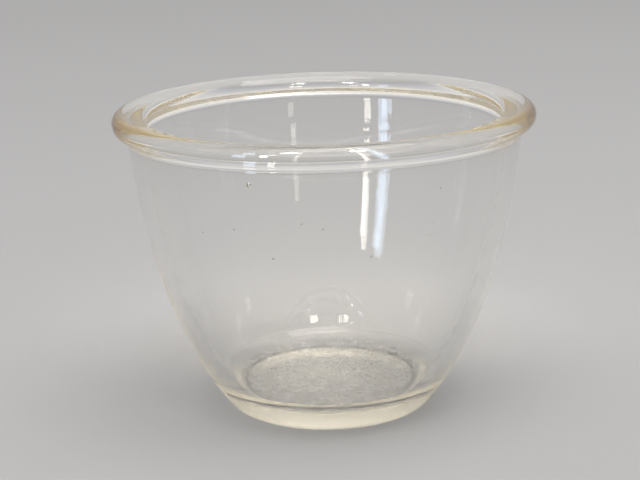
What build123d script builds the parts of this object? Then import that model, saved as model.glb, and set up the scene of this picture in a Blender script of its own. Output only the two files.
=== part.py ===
from build123d import *
import os
from math import cos, radians, sin, tan

# A pressed-glass mixing bowl: one thick piece of clear glass, round about +Z, with a narrow
# foot, sides that open out in one long curve, and a heavy rolled rim.
# The origin is on the bowl's axis, in the plane that the foot stands on. Millimetres.

# Whole bowl
rim_radius = 79.5
height = 116.4

# Rim: a rolled bead outside, a smaller roll at the mouth, and a crown that falls inwards
bead_radius = 3.9
lip_radius = 3.2
mouth_radius = 66.8
crown_fall = 14.0  # degrees

# Neck: where the wall runs up into the underside of the bead
neck_angle = -108.0  # degrees round the bead's centre
neck_fillet = 3.6

# Body: the outside of the wall is one curve from the foot to the neck
body_low_handle = (55.7, 25.3)
body_high_handle = (67.95, 50.3)

# Foot: a narrow ring to stand on, rounded up into a band that leans outwards
ring_outer = 35.9
ring_inner = 34.9
foot_rounding = 5.7
foot_lean = 35.8  # degrees from upright
foot_height = 9.8
seam_depth = 0.35
seam_width = 0.5

# Underside: domed up a little in the middle, so that only the ring touches
dome_height = 0.8

# Cavity: the inside of the wall is one curve too, rounded into a flat floor
floor_height = 10.3
floor_radius = 37.8
cavity_low_handle = (56.2, 33.1)
cavity_high_handle = 77.1
floor_fillet = 11.0


def draw_foot():
    """Draws the domed underside, the ring, the foot's band and the fine seam above it."""
    TangentArc((0, dome_height), (ring_inner, 0), tangent=(1, 0))
    Line((ring_inner, 0), (ring_outer, 0))
    rounding = JernArc((ring_outer, 0), (1, 0), foot_rounding, 90 - foot_lean)
    band_height = foot_height - (rounding @ 1).Y
    foot_radius = (rounding @ 1).X + band_height * tan(radians(foot_lean))
    seam_bottom = (foot_radius - seam_depth, foot_height + seam_width / 2)
    seam_top = (foot_radius + seam_width / 4, foot_height + seam_width)
    Polyline(rounding @ 1, (foot_radius, foot_height), seam_bottom, seam_top)
    return seam_top


def draw_rim(lip_height):
    """Draws the bead, the crown and the roll at the mouth, all tangent to each other."""
    bead_centre = (rim_radius - bead_radius, height - bead_radius)
    bead = CenterArc(bead_centre, bead_radius, neck_angle, 90 + crown_fall - neck_angle)
    lip_centre = (mouth_radius + lip_radius, lip_height)
    lip = CenterArc(lip_centre, lip_radius, 90 + crown_fall, 90 - crown_fall)
    Line(bead @ 1, lip @ 0)
    return bead @ 0


def draw_cavity(lip_height):
    """Draws the inside of the wall down to the floor, and the floor to the axis."""
    Bezier(
        (mouth_radius, lip_height),
        (mouth_radius, cavity_high_handle),
        cavity_low_handle,
        (floor_radius, floor_height),
    )
    Polyline((floor_radius, floor_height), (0, floor_height), (0, dome_height))


def round_corner(section, place, radius):
    """Rounds the corner of the section that is nearest to a place."""
    fillet(section.vertices().sort_by_distance(place)[0], radius)


# The crown is tangent to both rolls, which sets how high the smaller one sits
crown = radians(crown_fall)
crown_run = rim_radius - bead_radius - mouth_radius - lip_radius
lip_height = height - bead_radius - (crown_run * sin(crown) - (bead_radius - lip_radius)) / cos(crown)

with BuildPart() as mixing_bowl:
    with BuildSketch(Plane.XZ) as section:
        with BuildLine():
            body_bottom = draw_foot()
            body_top = draw_rim(lip_height)
            Bezier(body_bottom, body_low_handle, body_high_handle, body_top)
            draw_cavity(lip_height)
        make_face()
        round_corner(section, body_top, neck_fillet)
        round_corner(section, (floor_radius, floor_height), floor_fillet)
    revolve(axis=Axis.Z)

mixing_bowl.part.label = "mixing_bowl"
os.makedirs("parts", exist_ok=True)
export_step(mixing_bowl.part, "parts/mixing_bowl.step")
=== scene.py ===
import math
import random
import bpy
import numpy as np
from mathutils import Matrix, Vector


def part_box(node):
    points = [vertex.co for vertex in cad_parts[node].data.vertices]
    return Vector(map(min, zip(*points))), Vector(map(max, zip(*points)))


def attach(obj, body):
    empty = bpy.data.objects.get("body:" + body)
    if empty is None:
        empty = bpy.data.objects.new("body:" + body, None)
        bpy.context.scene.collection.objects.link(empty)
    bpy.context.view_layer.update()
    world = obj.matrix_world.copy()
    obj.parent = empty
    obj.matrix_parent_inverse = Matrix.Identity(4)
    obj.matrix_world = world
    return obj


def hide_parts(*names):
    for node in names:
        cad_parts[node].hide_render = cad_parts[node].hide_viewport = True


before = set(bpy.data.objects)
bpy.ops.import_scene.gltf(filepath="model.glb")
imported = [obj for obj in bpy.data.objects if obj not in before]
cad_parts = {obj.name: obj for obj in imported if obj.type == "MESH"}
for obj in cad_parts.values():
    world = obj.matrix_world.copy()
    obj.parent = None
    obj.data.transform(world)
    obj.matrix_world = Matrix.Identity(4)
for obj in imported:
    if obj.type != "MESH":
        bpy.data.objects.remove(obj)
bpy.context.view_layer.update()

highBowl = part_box("mixing_bowl")[1]
print("frame loaded, the bowl is", round(highBowl.z * 1000, 1), "mm high")

# the bowl's section, in millimetres when the rim is 79.5 out from the axis, as the frame has it
bowl = {
    "rimOut": 79.5, "top": 116.4,
    "beadRound": 3.9, "lipRound": 3.2, "mouthOut": 66.8, "crownFall": 14.0,
    "neckTurn": -108.0, "neckHollow": 3.6, "wallHandles": ((55.7, 25.3), (67.95, 50.3)),
    "ringOut": 35.9, "ringIn": 34.9, "footRound": 5.7, "footLean": 35.8, "footTop": 9.8,
    "seamDeep": 0.35, "seamWide": 0.5, "domeHigh": 0.8,
    "floorTop": 10.3, "floorOut": 37.8, "floorRound": 11.0,
    "insideHandles": ((66.8, 77.1), (56.2, 33.1)), "cornerSoft": 0.12,
}
mm = highBowl.x / bowl["rimOut"]

# how many points draw each stretch of the section, in order; the two fine ones are only searched
# for the place where a fillet touches them
points = {
    "dome": 62, "ring": 6, "footRound": 12, "footBand": 12, "corner": 5, "wall": 84, "neck": 14,
    "bead": 30, "crown": 8, "lip": 16, "inside": 76, "floorRound": 16, "floor": 20,
    "fineWall": 2400, "fineInside": 1200,
}


def line(a, b, count):
    t = np.linspace(0, 1, count)[:, None]
    return (1 - t) * np.array(a, float) + t * np.array(b, float)


def curve(a, b, c, d, count):
    t = np.linspace(0, 1, count)[:, None]
    a, b, c, d = [np.array(p, float) for p in (a, b, c, d)]
    return (1 - t) ** 3 * a + 3 * (1 - t) ** 2 * t * b + 3 * (1 - t) * t * t * c + t ** 3 * d


def arc(centre, size, fromTurn, toTurn, count):
    a = np.radians(np.linspace(fromTurn, toTurn, count))
    return np.stack([centre[0] + size * np.cos(a), centre[1] + size * np.sin(a)], 1)


def softCorner(before, corner, after, reach, count):
    # a short curve in place of a sharp corner, as fire polishing leaves it
    before, corner, after = [np.array(p, float) for p in (before, corner, after)]
    a = corner + (before - corner) / np.linalg.norm(before - corner) * reach
    b = corner + (after - corner) / np.linalg.norm(after - corner) * reach
    return curve(a, (a + 2 * corner) / 3, (b + 2 * corner) / 3, b, count)


def turnOf(way):
    return math.degrees(math.atan2(way[1], way[0]))


def movedAside(run, size):
    # the same run moved to its right by size
    way = np.gradient(run, axis=0)
    way /= np.linalg.norm(way, axis=1)[:, None]
    return run + size * np.stack([way[:, 1], -way[:, 0]], 1)


def outsideRun(b, n):
    # from the axis under the foot, over the ring and up the wall, to the top of the crown
    domeOut = np.linspace(0, b["ringIn"], n["dome"])
    dome = np.stack([domeOut, b["domeHigh"] * (1 - (domeOut / b["ringIn"]) ** 2)], 1)
    lean = math.radians(b["footLean"])
    footCentre = (b["ringOut"], b["footRound"])
    footRound = arc(footCentre, b["footRound"], -90, -b["footLean"], n["footRound"])
    footOut = footRound[-1][0] + (b["footTop"] - footRound[-1][1]) * math.tan(lean)
    footEdge = (footOut, b["footTop"])
    seamIn = (footOut - b["seamDeep"], b["footTop"] + b["seamWide"] / 2)
    wallFoot = (footOut + b["seamWide"] / 4, b["footTop"] + b["seamWide"])
    bead = np.array([b["rimOut"] - b["beadRound"], b["top"] - b["beadRound"]])
    neck = math.radians(b["neckTurn"])
    wallTop = bead + b["beadRound"] * np.array([math.cos(neck), math.sin(neck)])
    wall = curve(wallFoot, *b["wallHandles"], wallTop, n["fineWall"])
    centres = movedAside(wall, b["neckHollow"])
    apart = np.linalg.norm(centres - bead, axis=1)
    touch = int(np.argmin(np.abs(apart - b["beadRound"] - b["neckHollow"])))
    hollow = centres[touch]
    start, end = turnOf(wall[touch] - hollow), turnOf(bead - hollow)
    wall = wall[np.linspace(0, touch, n["wall"]).astype(int)]
    soft = (b["cornerSoft"], n["corner"])
    return [
        dome,
        line((b["ringIn"], 0), footRound[0], n["ring"])[1:-1],
        footRound[:-1],
        line(footRound[-1], footEdge, n["footBand"])[:-1],
        softCorner(footRound[-1], footEdge, seamIn, *soft),
        softCorner(footEdge, seamIn, wallFoot, *soft),
        softCorner(seamIn, wallFoot, wall[1], *soft),
        wall[1:-1],
        arc(hollow, b["neckHollow"], start, end, n["neck"])[:-1],
        arc(bead, b["beadRound"], end - 180, 90 + b["crownFall"], n["bead"]),
    ]


def insideRun(b, n, crownEnd):
    # from the crown over the lip, down the inside of the wall and across the floor to the axis
    fall = math.radians(b["crownFall"])
    normal = np.array([-math.sin(fall), math.cos(fall)])
    lipX = b["mouthOut"] + b["lipRound"]
    along = (crownEnd[0] - (lipX + b["lipRound"] * normal[0])) / math.cos(fall)
    lipTop = crownEnd - along * np.array([math.cos(fall), math.sin(fall)])
    lipZ = lipTop[1] - b["lipRound"] * normal[1]
    floorEdge = (b["floorOut"], b["floorTop"])
    inside = curve((b["mouthOut"], lipZ), *b["insideHandles"], floorEdge, n["fineInside"])
    centres = movedAside(inside, b["floorRound"])
    touch = int(np.argmin(np.abs(centres[:, 1] - b["floorTop"] - b["floorRound"])))
    start = turnOf(inside[touch] - centres[touch])
    return [
        line(crownEnd, lipTop, n["crown"])[1:-1],
        arc((lipX, lipZ), b["lipRound"], 90 + b["crownFall"], 180, n["lip"])[:-1],
        inside[np.linspace(0, touch, n["inside"]).astype(int)][:-1],
        arc(centres[touch], b["floorRound"], start, -90, n["floorRound"])[:-1],
        line((centres[touch][0], b["floorTop"]), (0, b["floorTop"]), n["floor"]),
    ]


outside = np.concatenate(outsideRun(bowl, points))
inside = np.concatenate(insideRun(bowl, points, outside[-1]))
section = np.concatenate([outside, inside])
print("section drawn with", len(section), "points")

# how far the pressed glass strays from a true turned shape, in millimetres; a pair is where along
# the section a thing starts and ends, and waves are (how many, most round the bowl, how they climb)
pressing = {
    "draw": 7, "around": 232, "ringFlat": 0.01,
    "seams": 3, "seamTurn": 34.0, "seamHigh": 0.07, "seamWide": 0.9,
    "seamSides": (-1.1, -0.7, -0.4, 0, 0.4, 0.7, 1.1), "seamFoot": (10.5, 14), "seamTop": (103, 107),
    "waveOut": 0.05, "waveIn": 0.06, "wavesOut": (9, 9, 5), "wavesIn": (9, 11, 5), "waveEdge": (20, 50),
    "ripple": 0.012, "ripples": (8, 7, 60), "rippleEdge": (12, 25),
    "rimSag": 0.12, "sags": (4, 4, 0), "sagEdge": (60, 116),
    "peenDeep": 0.04, "peenSize": 2.1, "peenReach": 0.72, "peenLeast": 0.4, "peenAcross": 80,
    "peenEdge": (33.4, 34.7), "peenHigh": 1.0,
}


def smoothStep(x, low, high):
    t = np.clip((x - low) / (high - low), 0, 1)
    return t * t * (3 - 2 * t)


def roundWaves(turn, height, rand, count, most, rise):
    # slow waves that close on themselves round the bowl
    total = np.zeros(np.broadcast(turn, height).shape)
    for _ in range(count):
        n = rand.randint(2, most)
        climb = rand.uniform(-rise, rise)
        start = rand.uniform(0, 2 * math.pi)
        total += np.cos(n * turn + climb * height + start) / n ** 0.5
    return total / count ** 0.5


def peenMarks(x, y, p, rand):
    # rounded marks, one near each point of a jittered grid
    size = p["peenSize"]
    cells = int(p["peenAcross"] / size)
    jitter = np.array([[(rand.random(), rand.random(), rand.uniform(p["peenLeast"], 1))
                        for _ in range(cells)] for _ in range(cells)])
    gx, gy = x / size + cells / 2, y / size + cells / 2
    ix, iy = np.floor(gx).astype(int), np.floor(gy).astype(int)
    best = np.zeros(np.shape(x))
    for dx in (-1, 0, 1):
        for dy in (-1, 0, 1):
            cell = jitter[np.clip(ix + dx, 0, cells - 1), np.clip(iy + dy, 0, cells - 1)]
            away = np.hypot(ix + dx + cell[..., 0] - gx, iy + dy + cell[..., 1] - gy)
            best = np.maximum(best, cell[..., 2] * np.clip(1 - (away / p["peenReach"]) ** 2, 0, 1) ** 2)
    return best


def pressedSurface(section, outsideCount, p):
    rand = random.Random(p["draw"])
    turns = np.linspace(0, 2 * math.pi, p["around"], endpoint=False)
    seams = [math.radians(p["seamTurn"] + 360 / p["seams"] * i) for i in range(p["seams"])]
    for seam in seams:
        turns = np.append(turns, seam + np.radians(p["seamSides"]))
    turns = np.sort(turns % (2 * math.pi))
    run = np.gradient(section, axis=0)
    normal = np.stack([run[:, 1], -run[:, 0]], 1)
    normal /= np.maximum(np.linalg.norm(normal, axis=1), 1e-9)[:, None]
    out, up = section[:, :1], section[:, 1:]
    outer = (np.arange(len(section)) < outsideCount)[:, None]
    high = up / section[:, 1].max()
    turn = turns[None, :]
    outerWaves = p["waveOut"] * roundWaves(turn, high, rand, *p["wavesOut"])
    innerWaves = p["waveIn"] * roundWaves(turn, high, rand, *p["wavesIn"])
    lift = np.where(outer, outerWaves, innerWaves) * smoothStep(out, *p["waveEdge"])
    ripples = p["ripple"] * roundWaves(turn, high, rand, *p["ripples"])
    lift += ripples * outer * smoothStep(up, *p["rippleEdge"])
    for seam in seams:
        away = np.abs((turn - seam + math.pi) % (2 * math.pi) - math.pi) * out
        ridge = np.exp(-(away / p["seamWide"] * 2) ** 2)
        ends = smoothStep(up, *p["seamFoot"]) * (1 - smoothStep(up, *p["seamTop"]))
        lift += p["seamHigh"] * ridge * outer * ends
    under = outer & (up < p["peenHigh"])
    marks = peenMarks(out * np.cos(turn), out * np.sin(turn), p, rand)
    lift -= p["peenDeep"] * marks * under * (1 - smoothStep(out, *p["peenEdge"]))
    lift *= 1 - (outer & (up < p["ringFlat"]))
    sags = p["rimSag"] * (roundWaves(turn, 0 * high, rand, *p["sags"]) - 1)
    r = out + lift * normal[:, :1]
    z = up + lift * normal[:, 1:] + sags * smoothStep(up, *p["sagEdge"])
    return np.stack([r * np.cos(turn), r * np.sin(turn), np.broadcast_to(z, r.shape)], -1)


grid = pressedSurface(section, len(outside), pressing)
print("pressed surface has", grid.shape[0], "rings of", grid.shape[1])

# seeds are small air bubbles in the glass; those with a place have (turn from the front, height)
seeds = {
    "draw": 21,
    "few": ((-27, 85), (-7, 88), (-39, 82), (32, 85), (43, 89), (13, 75), (-16, 75), (-1, 86), (34, 97)),
    "fewSize": (0.22, 0.34), "many": 44, "manySize": (0.08, 0.17), "manyHigh": (16, 97),
    "large": (-21.5, 101.3), "largeSize": 0.75,
    "stretch": 1.5, "inWall": (0.3, 0.7), "wallHigh": (11, 104), "rings": 7, "around": 12,
}


def seedPlaces(s):
    rand = random.Random(s["draw"])
    order = np.argsort(inside[:, 1])
    low, high = s["wallHigh"]
    wall = outside[(outside[:, 1] > low) & (outside[:, 1] < high)]
    places = [(math.radians(a - 90), z, rand.uniform(*s["fewSize"])) for a, z in s["few"]]
    for _ in range(s["many"]):
        turn = rand.uniform(0, 2 * math.pi)
        places.append((turn, rand.uniform(*s["manyHigh"]), rand.uniform(*s["manySize"])))
    places.append((math.radians(s["large"][0] - 90), s["large"][1], s["largeSize"]))
    for turn, z, size in places:
        outer = np.interp(z, wall[:, 1], wall[:, 0])
        inner = np.interp(z, inside[order, 1], inside[order, 0])
        r = inner + (outer - inner) * rand.uniform(*s["inWall"])
        yield Vector((r * math.cos(turn), r * math.sin(turn), z)), size, rand.uniform(1, s["stretch"])


def addSeeds(verts, faces, s):
    # each is a closed shell that faces inwards, because it is a hollow in the glass
    rings, around = s["rings"], s["around"]
    for place, size, stretch in seedPlaces(s):
        first = len(verts)
        verts.append(place + Vector((0, 0, size * stretch)))
        for i in range(1, rings):
            for j in range(around):
                a, b = math.pi * i / rings, 2 * math.pi * j / around
                verts.append(place + size * Vector(
                    (math.sin(a) * math.cos(b), math.sin(a) * math.sin(b), math.cos(a) * stretch)))
        verts.append(place - Vector((0, 0, size * stretch)))
        last = len(verts) - 1
        for j in range(around):
            k = (j + 1) % around
            faces.append((first, first + 1 + k, first + 1 + j))
            faces.append((last, last - around + j, last - around + k))
            for i in range(rings - 2):
                a, b = first + 1 + i * around, first + 1 + (i + 1) * around
                faces.append((a + j, a + k, b + k, b + j))


def makeBowl(grid, s):
    # the first and last rings are single points on the axis
    rings, around = grid.shape[:2]
    first, last = grid[0].mean(0), grid[-1].mean(0)
    verts = [Vector(first)] + [Vector(p) for p in grid[1:-1].reshape(-1, 3)] + [Vector(last)]
    faces = []
    for i in range(rings - 3):
        a, b = 1 + i * around, 1 + (i + 1) * around
        for j in range(around):
            k = (j + 1) % around
            faces.append((a + j, a + k, b + k, b + j))
    top = len(verts) - 1
    for j in range(around):
        k = (j + 1) % around
        faces.append((0, 1 + k, 1 + j))
        faces.append((top, top - around + j, top - around + k))
    addSeeds(verts, faces, s)
    mesh = bpy.data.meshes.new("pressed_bowl")
    mesh.from_pydata([v * mm for v in verts], [], faces)
    mesh.shade_smooth()
    mesh.update()
    piece = bpy.data.objects.new("pressed_bowl", mesh)
    bpy.context.scene.collection.objects.link(piece)
    return piece


glassBowl = makeBowl(grid, seeds)
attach(glassBowl, "root")
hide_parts("mixing_bowl")
print("bowl made with", len(glassBowl.data.polygons), "faces")

# clear soda-lime glass, a faint straw colour where it is thick, satin under the foot; a pair
# runs from one value to the other, edges are in millimetres, and grain is (size, detail, roughness)
glassFinish = {
    "ior": 1.517, "tint": (0.90, 0.82, 0.58, 1), "tintDensity": 6.5,
    "film": (0.004, 0.03), "filmGrain": (22, 5, 0.6), "filmPatch": (0.46, 0.72),
    "satin": (0.24, 0.36), "satinGrain": (420, 3, 0.5), "satinPatch": (0.3, 0.7),
    "satinHigh": (2.4, 2.1), "satinOut": (38.1, 37.1),
    "ringWear": (0, 0.55), "ringHigh": (0.06, 0.01),
    "footSatin": (0, 0.26), "footBelow": (-0.2, -0.9),  # from the top of the foot
    "crownWear": (0.006, 0.10), "crownBelow": (-1.6, -0.4),  # from the top of the rim
    "rubGrain": (210, 6, 0.7), "rubStretch": (1, 1, 0.25), "rubPatch": (0.5, 0.78),
    "scuff": (0, 0.07), "scuffGrain": (1500, 3, 0.6), "scuffStretch": (0.05, 0.05, 1),
    "scuffPatch": (0.62, 0.8), "scuffTop": (60, 12), "scuffLow": (9, 10),
    "dull": (0.10, 0.40), "dullGrain": (190, 6, 0.62), "dullPatch": (0.34, 0.66), "dullOut": (36.3, 34.9),
    "dullAbove": (1.2, 0.5), "dullBelow": (-0.8, -0.3),  # from the floor of the bowl
    "skin": 0.035, "skinDeep": 0.0004, "skinGrain": (260, 2, 0.5),
    "skinAbove": (0, 4),  # from the top of the foot
}


class NodeMaker:
    # short ways to add and join the nodes of one material
    def __init__(self, material):
        material.use_nodes = True
        self.tree = material.node_tree
        self.shader = self.tree.nodes["Principled BSDF"]
        self.output = self.tree.nodes["Material Output"]

    def add(self, kind, inputs, **settings):
        node = self.tree.nodes.new("ShaderNode" + kind)
        for name, value in settings.items():
            setattr(node, name, value)
        for socket, value in inputs:
            self.feed(node.inputs[socket], value)
        return node

    def feed(self, socket, value):
        if isinstance(value, bpy.types.NodeSocket):
            self.tree.links.new(value, socket)
        else:
            socket.default_value = value

    def join(self, operation, total, *others):
        for other in others:
            total = self.add("Math", ((0, total), (1, other)), operation=operation).outputs[0]
        return total

    def product(self, *values):
        return self.join("MULTIPLY", *values)

    def roughest(self, *values):
        return self.join("MAXIMUM", *values)

    def fade(self, value, span, ends=(0, 1)):
        inputs = zip(("Value", "From Min", "From Max", "To Min", "To Max"), (value, *span, *ends))
        return self.add("MapRange", inputs, interpolation_type="SMOOTHSTEP").outputs[0]

    def grain(self, place, sizes):
        inputs = zip(("Vector", "Scale", "Detail", "Roughness"), (place, *sizes))
        return self.add("TexNoise", inputs).outputs["Fac"]

    def stretched(self, place, amounts):
        return self.add("VectorMath", ((0, place), (1, amounts)), operation="MULTIPLY").outputs[0]


def inMetres(span, start=0.0):
    return [(start + edge) * mm for edge in span]


def makeGlass(g, b):
    material = bpy.data.materials.new("clear_glass")
    make = NodeMaker(material)
    place = make.add("TexCoord", ()).outputs["Object"]
    height = make.add("SeparateXYZ", ((0, place),)).outputs["Z"]
    flat = make.stretched(place, (1, 1, 0))
    out = make.add("VectorMath", ((0, flat),), operation="LENGTH").outputs["Value"]
    film = make.fade(make.grain(place, g["filmGrain"]), g["filmPatch"], g["film"])
    satin = make.product(
        make.fade(height, inMetres(g["satinHigh"])), make.fade(out, inMetres(g["satinOut"])),
        make.fade(make.grain(place, g["satinGrain"]), g["satinPatch"], g["satin"]))
    ring = make.fade(height, inMetres(g["ringHigh"]), g["ringWear"])
    foot = make.fade(height, inMetres(g["footBelow"], b["footTop"]), g["footSatin"])
    rubs = make.grain(make.stretched(place, g["rubStretch"]), g["rubGrain"])
    crown = make.product(
        make.fade(height, inMetres(g["crownBelow"], b["top"])),
        make.fade(rubs, g["rubPatch"], g["crownWear"]))
    turns = make.grain(make.stretched(place, g["scuffStretch"]), g["scuffGrain"])
    scuffs = make.product(
        make.fade(height, inMetres(g["scuffTop"])), make.fade(height, inMetres(g["scuffLow"])),
        make.fade(turns, g["scuffPatch"], g["scuff"]))
    dull = make.product(
        make.fade(height, inMetres(g["dullAbove"], b["floorTop"])),
        make.fade(height, inMetres(g["dullBelow"], b["floorTop"])), make.fade(out, inMetres(g["dullOut"])),
        make.fade(make.grain(place, g["dullGrain"]), g["dullPatch"], g["dull"]))
    rough = make.roughest(film, satin, ring, crown, scuffs, dull, foot)
    make.feed(make.shader.inputs["Roughness"], rough)
    # fire polishing leaves a skin that isn't quite flat, above the foot
    skin = make.product(
        make.grain(place, g["skinGrain"]), make.fade(height, inMetres(g["skinAbove"], b["footTop"])))
    bump = make.add("Bump", (("Strength", g["skin"]), ("Distance", g["skinDeep"]), ("Height", skin)))
    make.feed(make.shader.inputs["Normal"], bump.outputs[0])
    make.shader.inputs["Base Color"].default_value = (1, 1, 1, 1)
    make.shader.inputs["Transmission Weight"].default_value = 1
    make.shader.inputs["IOR"].default_value = g["ior"]
    absorb = make.add("VolumeAbsorption", (("Color", g["tint"]), ("Density", g["tintDensity"])))
    make.feed(make.output.inputs["Volume"], absorb.outputs[0])
    return material


glassBowl.data.materials.append(makeGlass(glassFinish, bowl))
print("glass finish made")

# the table top is a plain pale surface that runs past every edge of the view
table = {
    "reach": 4.0, "corners": 96,
    "colour": (0.48, 0.485, 0.50, 1), "roughness": 0.9, "sheen": 0.0,
}


def makeTable(t):
    mesh = bpy.data.meshes.new("table_top")
    ring = [(t["reach"] * math.cos(a), t["reach"] * math.sin(a), 0)
            for a in np.linspace(0, 2 * math.pi, t["corners"], endpoint=False)]
    mesh.from_pydata(ring, [], [tuple(range(len(ring)))])
    piece = bpy.data.objects.new("table_top", mesh)
    bpy.context.scene.collection.objects.link(piece)
    material = bpy.data.materials.new("table_paint")
    material.use_nodes = True
    shader = material.node_tree.nodes["Principled BSDF"]
    shader.inputs["Base Color"].default_value = t["colour"]
    shader.inputs["Roughness"].default_value = t["roughness"]
    shader.inputs["Specular IOR Level"].default_value = t["sheen"]
    mesh.materials.append(material)


makeTable(table)

# the camera, in rim radii from the bowl's axis, and how it is turned, in degrees
camera = {
    "back": 7.307, "up": 2.785, "lens": 87.95, "sensor": 36,
    "pan": -0.256, "tilt": 15.225, "roll": -1.523,
}


def makeCamera(c):
    data = bpy.data.cameras.new("camera")
    data.sensor_width = c["sensor"]
    data.lens = c["lens"]
    piece = bpy.data.objects.new("camera", data)
    bpy.context.scene.collection.objects.link(piece)
    pan, tilt, roll = [math.radians(c[k]) for k in ("pan", "tilt", "roll")]
    ahead = Vector((math.sin(pan) * math.cos(tilt), math.cos(pan) * math.cos(tilt), -math.sin(tilt)))
    level = Vector((math.cos(pan), -math.sin(pan), 0))
    upright = level.cross(ahead)
    right = level * math.cos(roll) + upright * math.sin(roll)
    over = upright * math.cos(roll) - level * math.sin(roll)
    turn = Matrix((right, over, -ahead)).transposed().to_4x4()
    radius = highBowl.x
    piece.matrix_world = Matrix.Translation((0, -c["back"] * radius, c["up"] * radius)) @ turn
    bpy.context.scene.camera = piece


makeCamera(camera)

# soft studio lights, all aimed at a point this share of the way up the bowl; each is placed by
# its turn from the front, its rise and its distance, and a glossOnly one shows only in the glass
aimHigh = 0.6
lights = {
    "overhead": {"turn": 30, "rise": 76, "away": 1.5, "size": (1.2, 0.9),
                 "watts": 9.0, "colour": (1.0, 0.98, 0.95)},
    "leftLamp": {"turn": -21, "rise": 45, "away": 1.0, "size": (0.12, 0.07),
                 "watts": 9.0, "colour": (1.0, 0.92, 0.78), "glossOnly": True},
    "rightLamp": {"turn": 20, "rise": 45, "away": 1.0, "size": (0.12, 0.07),
                  "watts": 9.0, "colour": (1.0, 0.92, 0.78), "glossOnly": True},
    "lowLamp": {"turn": -30, "rise": 12, "away": 0.9, "size": (0.06, 0.22),
                "watts": 4.0, "colour": (1.0, 0.95, 0.88), "glossOnly": True},
    "window": {"turn": -43, "rise": 6, "away": 1.0, "size": (0.12, 0.5),
               "watts": 1.3, "colour": (0.62, 0.78, 1.0), "glossOnly": True},
    "sideLamp": {"turn": 22, "rise": 7, "away": 1.0, "size": (0.06, 0.22),
                 "watts": 0.15, "colour": (1.0, 0.93, 0.84), "glossOnly": True},
}


def makeLight(name, light):
    data = bpy.data.lights.new(name, "AREA")
    data.shape = "RECTANGLE"
    data.size, data.size_y = light["size"]
    data.energy = light["watts"]
    data.color = light["colour"]
    piece = bpy.data.objects.new(name, data)
    bpy.context.scene.collection.objects.link(piece)
    a, e = math.radians(light["turn"]), math.radians(light["rise"])
    back = Vector((math.sin(a) * math.cos(e), -math.cos(a) * math.cos(e), math.sin(e)))
    piece.location = Vector((0, 0, highBowl.z * aimHigh)) + back * light["away"]
    piece.rotation_mode = "QUATERNION"
    piece.rotation_quaternion = (-back).to_track_quat("-Z", "Y")
    piece.visible_camera = False
    piece.visible_diffuse = not light.get("glossOnly", False)


# the room's soft light: how high above the level each tone starts, and the tone
room = {
    "tones": ((0.0, (0.48, 0.48, 0.51)), (0.12, (0.60, 0.60, 0.63)),
              (0.34, (0.92, 0.90, 0.87)), (1.0, (1.0, 0.97, 0.93))),
    "strength": 0.85,
}


def makeRoom(r):
    world = bpy.data.worlds.new("room")
    world.use_nodes = True
    nodes, links = world.node_tree.nodes, world.node_tree.links
    split = nodes.new("ShaderNodeSeparateXYZ")
    links.new(nodes.new("ShaderNodeTexCoord").outputs["Generated"], split.inputs[0])
    ramp = nodes.new("ShaderNodeValToRGB")
    links.new(split.outputs["Z"], ramp.inputs["Fac"])
    stops = ramp.color_ramp.elements  # a new ramp has two of them already
    for i, (level, tone) in enumerate(r["tones"]):
        stop = stops[i] if i < 2 else stops.new(level)
        stop.position, stop.color = level, (*tone, 1)
    links.new(ramp.outputs["Color"], nodes["Background"].inputs["Color"])
    nodes["Background"].inputs["Strength"].default_value = r["strength"]
    bpy.context.scene.world = world


for name, light in lights.items():
    makeLight(name, light)
makeRoom(room)
bpy.context.scene.view_settings.view_transform = "Standard"
# light runs a long way round inside a thick rim before it leaves
bounces = 256
paths = bpy.context.scene.cycles
paths.max_bounces = bounces
paths.glossy_bounces = bounces
paths.transmission_bounces = bounces
print("stage, camera and lights set")
